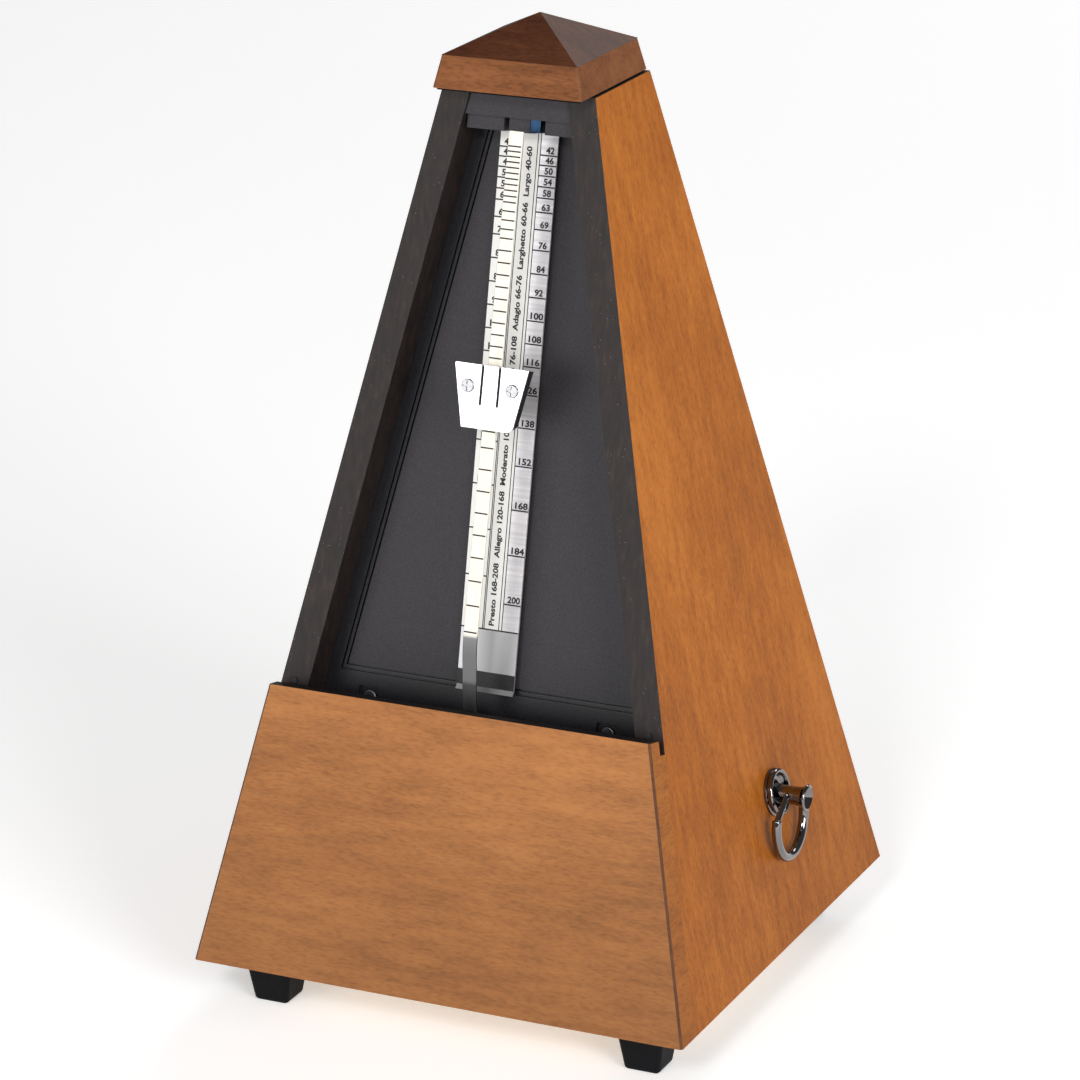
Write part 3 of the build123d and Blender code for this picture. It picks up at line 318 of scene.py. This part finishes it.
# ---- the printed scale ----
BEATS = [*range(40, 60, 2), *range(60, 72, 3), *range(72, 120, 4), *range(120, 144, 6), *range(144, 209, 8)]
LOWEST_BEAT = 208
# A weight whose middle is u metres above the pivot swings at beats^2 = slope (stop - u) / (arm + u^2).
# Each law is (slope, height where it would stop, arm squared, weight's middle below its mark).
SCALE_LAW = (3081.66, 0.130597, 0.008033, 0.021852)
ROD_LAW = (2911.87, 0.133163, 0.007579, 0.023058)
LEFT_COLUMN = 0.37  # where the print's columns end, as parts of the plate's width
WORDS_START = 0.41
WORDS_END = 0.64
RIGHT_COLUMN = 0.71
PRINT_LIFT = 0.02 * MM
MARK_MARGIN = 0.1 * MM  # the rod's marks stop this far inside its edges
LINE = 0.32 * MM
THIN = 0.2 * MM
NUMERAL_H = 1.5 * MM
NUMERAL_W = 1.08 * MM
NUMERAL_LIFT = 0.35 * MM
LEFT_MARGIN = 1.0 * MM  # the left column starts here, and the rod hides some of it
RIGHT_SHIFT = 0.35 * MM
WORD_H = 1.75 * MM
WORDS = "Presto 168-208  Allegro 120-168  Moderato 108-120  Andante 76-108  "
WORDS += "Adagio 66-76  Larghetto 60-66  Largo 40-60"
WORDS_TOP = 194.5 * MM
WORDS_LIFT = 0.9 * MM  # the words start this far above the lowest mark
WORDS_INSET = 0.65 * MM
BAND_LOW = SCALE_LOW.z + 1.0 * MM
BAND_TOP = 80.3 * MM


def mark_height(beats, law):
    """Height of a tempo's mark above the table."""
    slope, stop, arm, middle = law
    square = beats * beats
    rise = (math.sqrt(slope * slope - 4 * square * (square * arm - slope * stop)) - slope) / (2 * square)
    return PIVOT.z + middle + rise


def scale_point(x, z, lift=PRINT_LIFT):
    """A point on the scale's face, at a height above the table."""
    top_y = SCALE_HIGH.y - SCALE_T / math.cos(LEAN)
    return Vector((x, top_y - RISE * (SCALE_HIGH.z - z), z)) + lift * OUTWARD


def across_scale(part):
    return SCALE_LOW.x + part * SCALE_W


# The strip curves over this height each side of where it springs forward. The weight's saddle
# stops just above the bend, so a longer curve would cut through it.
BEND = 2.5 * MM
STRIP_EDGE = 0.12 * MM  # bevel along the strip's long edges
HUB_R = 3.2 * MM
HUB_T = 0.8 * MM


def rod_point(x, z, lift):
    """A point x from the middle of the parked strip and `lift` in front of its middle plane."""
    part = min(max((z - RELEASE.z + BEND) / (2 * BEND), 0.0), 1.0)
    beyond = max(z - RELEASE.z - BEND, 0.0)
    y = PIVOT.y + RISE * (BEND * part * part + beyond)
    outward = Vector((0, -1, RISE * part)).normalized()
    point = Vector((x, y, z)) + lift * outward
    turn = Matrix.Rotation(PARKED, 4, "Y")
    return turn @ (point - Vector((0, 0, PIVOT.z))) + Vector((0, 0, PIVOT.z))


def rod_print(x, z):
    return rod_point(x, z, ROD_T / 2 + PRINT_LIFT)


def bend_with_rod(made):
    """Bakes a piece's placement into its mesh; the bend where the rod springs out of its latch is already in
    the piece's shape.
    """
    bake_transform(made)


def spring_strip(material):
    """The pendulum's rod and stem as the one strip of spring steel that they are, with its hub."""
    low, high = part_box("pendulum_stem")[0].z, ROD_HIGH.z
    heights = [low, *(RELEASE.z + BEND * step / 8 for step in range(-9, 10)), high]
    mesh = bmesh.new()
    rings = []
    w, t, c = ROD_W / 2, ROD_T / 2, STRIP_EDGE
    outline = [
        (-w, -t + c), (-w, t - c), (-w + c, t), (w - c, t),
        (w, t - c), (w, -t + c), (w - c, -t), (-w + c, -t),
    ]
    for z in heights:
        rings.append([mesh.verts.new(rod_point(x, z, lift)) for x, lift in outline])
    for ring, above in zip(rings, rings[1:]):
        for i in range(len(outline)):
            j = (i + 1) % len(outline)
            mesh.faces.new([ring[i], ring[j], above[j], above[i]])
    mesh.faces.new(rings[0])
    mesh.faces.new(reversed(rings[-1]))
    across = Matrix.Translation(PIVOT) @ Matrix.Rotation(math.radians(90), 4, "X")
    bmesh.ops.create_cone(
        mesh, cap_ends=True, segments=48, radius1=HUB_R, radius2=HUB_R, depth=HUB_T, matrix=across
    )
    bmesh.ops.recalc_face_normals(mesh, faces=mesh.faces)
    made = piece("spring_strip", mesh, material, None)
    bend_with_rod(made)
    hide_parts("pendulum_rod", "pendulum_stem")


def strip(mesh, place, x0, x1, z0, z1):
    """A flat rectangle of print."""
    corners = [place(x0, z0), place(x1, z0), place(x1, z1), place(x0, z1)]
    mesh.faces.new([mesh.verts.new(corner) for corner in corners])


def lettering(mesh, text, place, height, width, upward=False):
    """Letters laid on a face, scaled to a height and a width, with place(u, v) in their own plane."""
    curve = bpy.data.curves.new("lettering", "FONT")
    curve.body = text
    curve.resolution_u = 3
    curve.offset = 0.035
    holder = bpy.data.objects.new("lettering", curve)
    letters = bpy.data.meshes.new_from_object(holder)
    low = [min(v.co[i] for v in letters.vertices) for i in (0, 1)]
    high = [max(v.co[i] for v in letters.vertices) for i in (0, 1)]
    across = width / (high[0] - low[0])
    tall = height / (high[1] - low[1])
    placed = []
    for vertex in letters.vertices:
        u = (vertex.co.x - low[0]) * across
        v = (vertex.co.y - low[1]) * tall
        placed.append(mesh.verts.new(place(-v, u) if upward else place(u, v)))
    for face in letters.polygons:
        mesh.faces.new([placed[i] for i in face.vertices])
    bpy.data.objects.remove(holder)
    bpy.data.curves.remove(curve)
    bpy.data.meshes.remove(letters)


def piece(name, mesh, material, body):
    data = bpy.data.meshes.new(name)
    mesh.normal_update()
    mesh.to_mesh(data)
    mesh.free()
    made = bpy.data.objects.new(name, data)
    bpy.context.scene.collection.objects.link(made)
    made.data.materials.append(material)
    if body:
        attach(made, body)
    return made


def print_scale(ink):
    lines = bmesh.new()
    numerals = bmesh.new()
    margin = 0.15 * MM
    for number, beats in enumerate(BEATS):
        z = mark_height(beats, SCALE_LAW)
        left = number % 2 == 0
        start, end = (0.0, LEFT_COLUMN) if left else (RIGHT_COLUMN, 1.0)
        strip(lines, scale_point, across_scale(start), across_scale(end), z - LINE / 2, z + LINE / 2)
        if beats == LOWEST_BEAT:
            strip(lines, scale_point, across_scale(0), across_scale(1), z - LINE / 2, z + LINE / 2)
        text = str(beats)
        width = NUMERAL_W * len(text)
        middle = across_scale((start + end) / 2) + RIGHT_SHIFT
        first = across_scale(0) + LEFT_MARGIN if left else middle - width / 2
        height = min(NUMERAL_H, 0.9 * gap_above(number))
        place = lambda u, v: scale_point(first + u, z + NUMERAL_LIFT + v)
        lettering(numerals, text, place, height, width - margin)
    foot = mark_height(LOWEST_BEAT, SCALE_LAW)
    for part in (LEFT_COLUMN, WORDS_START - 0.015, WORDS_END + 0.012, RIGHT_COLUMN - 0.005):
        x = across_scale(part)
        strip(lines, scale_point, x - THIN / 2, x + THIN / 2, foot, SCALE_HIGH.z)
    strip(lines, scale_point, across_scale(0), across_scale(1), BAND_LOW, BAND_TOP)
    right = across_scale(WORDS_END) - WORDS_INSET
    start = foot + WORDS_LIFT
    lettering(
        numerals, WORDS, lambda u, v: scale_point(right + u, start + v),
        WORD_H, WORDS_TOP - start, upward=True,
    )
    piece("scale_lines", lines, ink, "case")
    piece("scale_lettering", numerals, ink, "case")


def gap_above(number):
    """Height between a mark and the next one up in its own column."""
    if number < 2:
        return NUMERAL_H * 2
    return mark_height(BEATS[number - 2], SCALE_LAW) - mark_height(BEATS[number], SCALE_LAW)


def print_rod(ink):
    lines = bmesh.new()
    for beats in BEATS:
        z = mark_height(beats, ROD_LAW)
        reach = ROD_W / 2 - MARK_MARGIN
        strip(lines, rod_print, -reach, reach, z - LINE / 2, z + LINE / 2)
    bend_with_rod(piece("rod_marks", lines, ink, None))


# ---- light, floor and camera ----
def softbox(name, azimuth, elevation, distance, width, height, watts, colour=(1, 1, 1)):
    """An area light aimed at the middle of the case. Azimuth 0 is in front, 90 on the key's side."""
    data = bpy.data.lights.new(name, "AREA")
    data.shape = "RECTANGLE"
    data.size, data.size_y = width, height
    data.energy = watts
    data.color = colour
    lamp = bpy.data.objects.new(name, data)
    a, e = math.radians(azimuth), math.radians(elevation)
    outward = Vector((math.sin(a) * math.cos(e), -math.cos(a) * math.cos(e), math.sin(e)))
    lamp.location = Vector((0, 0, 0.11)) + distance * outward
    lamp.rotation_euler = outward.to_track_quat("Z", "Y").to_euler()
    lamp.visible_camera = False
    bpy.context.scene.collection.objects.link(lamp)


AMBIENT = 0.24  # strength of the all-round light, and of what shows of it in a gloss
AMBIENT_GLOSS = 0.12


def studio():
    world = bpy.data.worlds.new("studio")
    bpy.context.scene.world = world
    world.use_nodes = True
    tree = world.node_tree
    path = tree.nodes.new("ShaderNodeLightPath").outputs
    background = tree.nodes["Background"]
    background.inputs["Color"].default_value = (1, 1, 1, 1)
    level = AMBIENT
    for ray, strength in (("Is Glossy Ray", AMBIENT_GLOSS), ("Is Camera Ray", 1.0)):
        choose = tree.nodes.new("ShaderNodeMix")
        tree.links.new(path[ray], choose.inputs["Factor"])
        if isinstance(level, float):
            choose.inputs["A"].default_value = level
        else:
            tree.links.new(level, choose.inputs["A"])
        choose.inputs["B"].default_value = strength
        level = choose.outputs["Result"]
    tree.links.new(level, background.inputs["Strength"])

    floor_mesh = bmesh.new()
    reach = 12.0
    corners = [(-reach, -reach, 0), (reach, -reach, 0), (reach, reach, 0), (-reach, reach, 0)]
    floor_mesh.faces.new([floor_mesh.verts.new(corner) for corner in corners])
    data = bpy.data.meshes.new("floor")
    floor_mesh.to_mesh(data)
    floor_mesh.free()
    floor = bpy.data.objects.new("floor", data)
    bpy.context.scene.collection.objects.link(floor)
    pale = Finish(
        "pale_floor", Base_Color=(0.94, 0.94, 0.94), Roughness=0.9,
        Emission_Color=(1, 1, 1), Emission_Strength=0.35,
    )
    data.materials.append(pale.material)

    softbox("front_light", 8, 32, 2.4, 0.4, 0.4, 14)
    softbox("right_light", 56, 16, 2.0, 0.9, 0.9, 32)
    softbox("left_reflector", -24, 4, 2.2, 1.2, 1.2, 20)
    softbox("back_light", 178, 34, 2.6, 1.4, 0.8, 16)


CAMERA = Vector((0.41859, -0.90345, 0.43635))
TARGET = Vector((0.0007, -0.00342, 0.1029))
ROLL = math.radians(-0.388)
LENS = 154.89


def camera():
    data = bpy.data.cameras.new("camera")
    data.lens = LENS
    data.sensor_width = 36
    data.clip_start = 0.05
    data.clip_end = 40
    view = bpy.data.objects.new("camera", data)
    view.location = CAMERA
    back = (CAMERA - TARGET).normalized()
    right = Vector((0, 0, 1)).cross(back).normalized()
    up = back.cross(right)
    turned_right = math.cos(ROLL) * right + math.sin(ROLL) * up
    turned_up = -math.sin(ROLL) * right + math.cos(ROLL) * up
    axes = Matrix((turned_right, turned_up, back)).transposed()
    view.rotation_mode = "QUATERNION"
    view.rotation_quaternion = axes.to_quaternion()
    bpy.context.scene.collection.objects.link(view)
    bpy.context.scene.camera = view
    bpy.context.scene.view_settings.view_transform = "Standard"


def finishes():
    amber = wood(
        "amber_lacquered_wood", (0.24, 0.066, 0.006), (0.325, 0.095, 0.008), (0.42, 0.135, 0.016), "z", 3.1,
        pores=0.85, lower=0.9, gloss=0.12,
    )
    paint(amber, "right_side_panel", "left_side_panel", "back_panel")
    edge = stained_edge()
    for side, name in ((1, "right_side_panel"), (-1, "left_side_panel")):
        repaint(edge, name, lambda centre, normal: side * normal.x < 0.5 and normal.y < 0.5)
    brown = wood(
        "matte_brown_wood", (0.23, 0.090, 0.028), (0.31, 0.121, 0.037), (0.38, 0.153, 0.047), "x", 7.7,
        roughness=0.6, pores=0.9, lower=0.75,
    )
    # painted shade: the board's rounded upright edges get a darker copy of its wood for the shade on them
    bevel = wood(
        "bevel_painted_shade", (0.05, 0.016, 0.004), (0.08, 0.025, 0.006), (0.11, 0.036, 0.008), "z", 5.9,
        roughness=0.55,
    )
    end_grain = wood(
        "amber_end_grain", (0.20, 0.060, 0.007), (0.28, 0.088, 0.011), (0.35, 0.118, 0.017), "y", 6.4,
        pores=0.85, gloss=0.12,
    )
    paint(brown, "front_board")
    repaint(bevel, "front_board", lambda centre, normal: 0.3 < abs(normal.x) < 0.9)
    repaint(end_grain, "front_board", lambda centre, normal: abs(normal.x) >= 0.9)
    repaint(edge, "front_board", in_rabbet)
    cap_brown = wood(
        "dark_cap_wood", (0.11, 0.037, 0.011), (0.16, 0.055, 0.017), (0.21, 0.075, 0.024), "x", 1.3,
        gloss=0.12,
    )
    # painted shade: the cap's roof faces get a darker copy of the cap's wood
    shaded_roof_brown = wood(
        "roof_wood_painted_shade", (0.050, 0.015, 0.006), (0.080, 0.025, 0.010), (0.11, 0.037, 0.015), "x", 2.6,
        gloss=0.12,
    )
    paint(cap_brown, "cap")
    repaint(shaded_roof_brown, "cap", lambda centre, normal: normal.z > 0.5)
    paint(
        wood("raw_plywood", (0.42, 0.27, 0.14), (0.55, 0.38, 0.21), (0.66, 0.48, 0.29), "y", 9.2, 0.75),
        "base_board", "glue_blocks",
    )
    # painted shade: the liner under the cap is near-black to stand for the shadowed gap under the cap
    paint(black_plastic("liner_painted_shade", (0.003, 0.003, 0.003), 0.7, 900, 0.1), "cap_liner")
    smooth = black_plastic("smooth_black_plastic", (0.006, 0.006, 0.008), 0.42, 1500)
    grainy = black_plastic("grained_black_plastic", (0.020, 0.017, 0.021), 0.52, 2600)
    paint(smooth, "face_panel", "face_battens", "cover_pins")
    paint(grainy, "latch_bridge")
    repaint(grainy, "face_panel", in_field)
    feet = [f"foot_{y}_{x}" for y in ("front", "rear") for x in ("left", "right")]
    paint(black_plastic("foot_plastic", (0.002, 0.002, 0.003), 0.6, 1500, 0.12), *feet)
    paint(scale_metal(), "scale_plate")
    strip_finish = rod_metal()
    paint(strip_finish, "pendulum_rod", "pendulum_stem")
    spring_strip(strip_finish)
    blue = metal("blued_steel", (0.05, 0.09, 0.17), 0.35)
    paint(blue, "mainspring", "click_spring")
    paint(metal("dark_blue_clip", (0.02, 0.045, 0.09), 0.35), "latch_clip")
    steel = metal("bright_steel", (0.62, 0.62, 0.64), 0.26)
    paint(
        steel, "foot_screws", "movement_screws", "pillar_screws", "click_screw", "verge_arbor",
        "winding_arbor", "ratchet_wheel", "click", "second_arbor", "second_pinion", "escape_arbor",
        "escape_pinion", "pallets", "bob_rivet", "weight_leaf",
    )
    paint(metal("dark_screws", (0.12, 0.12, 0.13), 0.4), "face_screws")
    brass = metal("satin_brass", (0.78, 0.58, 0.26), 0.3, (400, 400, 400))
    paint(
        brass, "movement_plate_left", "movement_plate_right", "pillars", "verge_bridge", "verge_cock",
        "pendulum_hub", "great_wheel", "second_wheel", "escape_wheel", "spring_post",
    )
    paint(metal("cast_bob", (0.24, 0.24, 0.26), 0.55, (600, 600, 600), 0.3, 0.03), "counterweight")
    paint(metal("polished_weight", (0.6, 0.6, 0.61), 0.28), "weight_plate")
    paint(metal("weight_screw_steel", (0.30, 0.30, 0.31), 0.3), "weight_screws")
    paint(black_plastic("weight_black_paint", (0.014, 0.014, 0.016), 0.35, 1200), "weight_body")
    nickel = metal("key_nickel", (0.22, 0.21, 0.21), 0.08, (300, 300, 300), 0.1)
    paint(nickel, "key_barrel", "key_ring", "key_escutcheon")


finishes()
ink = black_plastic("print_ink", (0.010, 0.010, 0.011), 0.5, 900)
print_scale(ink)
print_rod(ink)
studio()
camera()
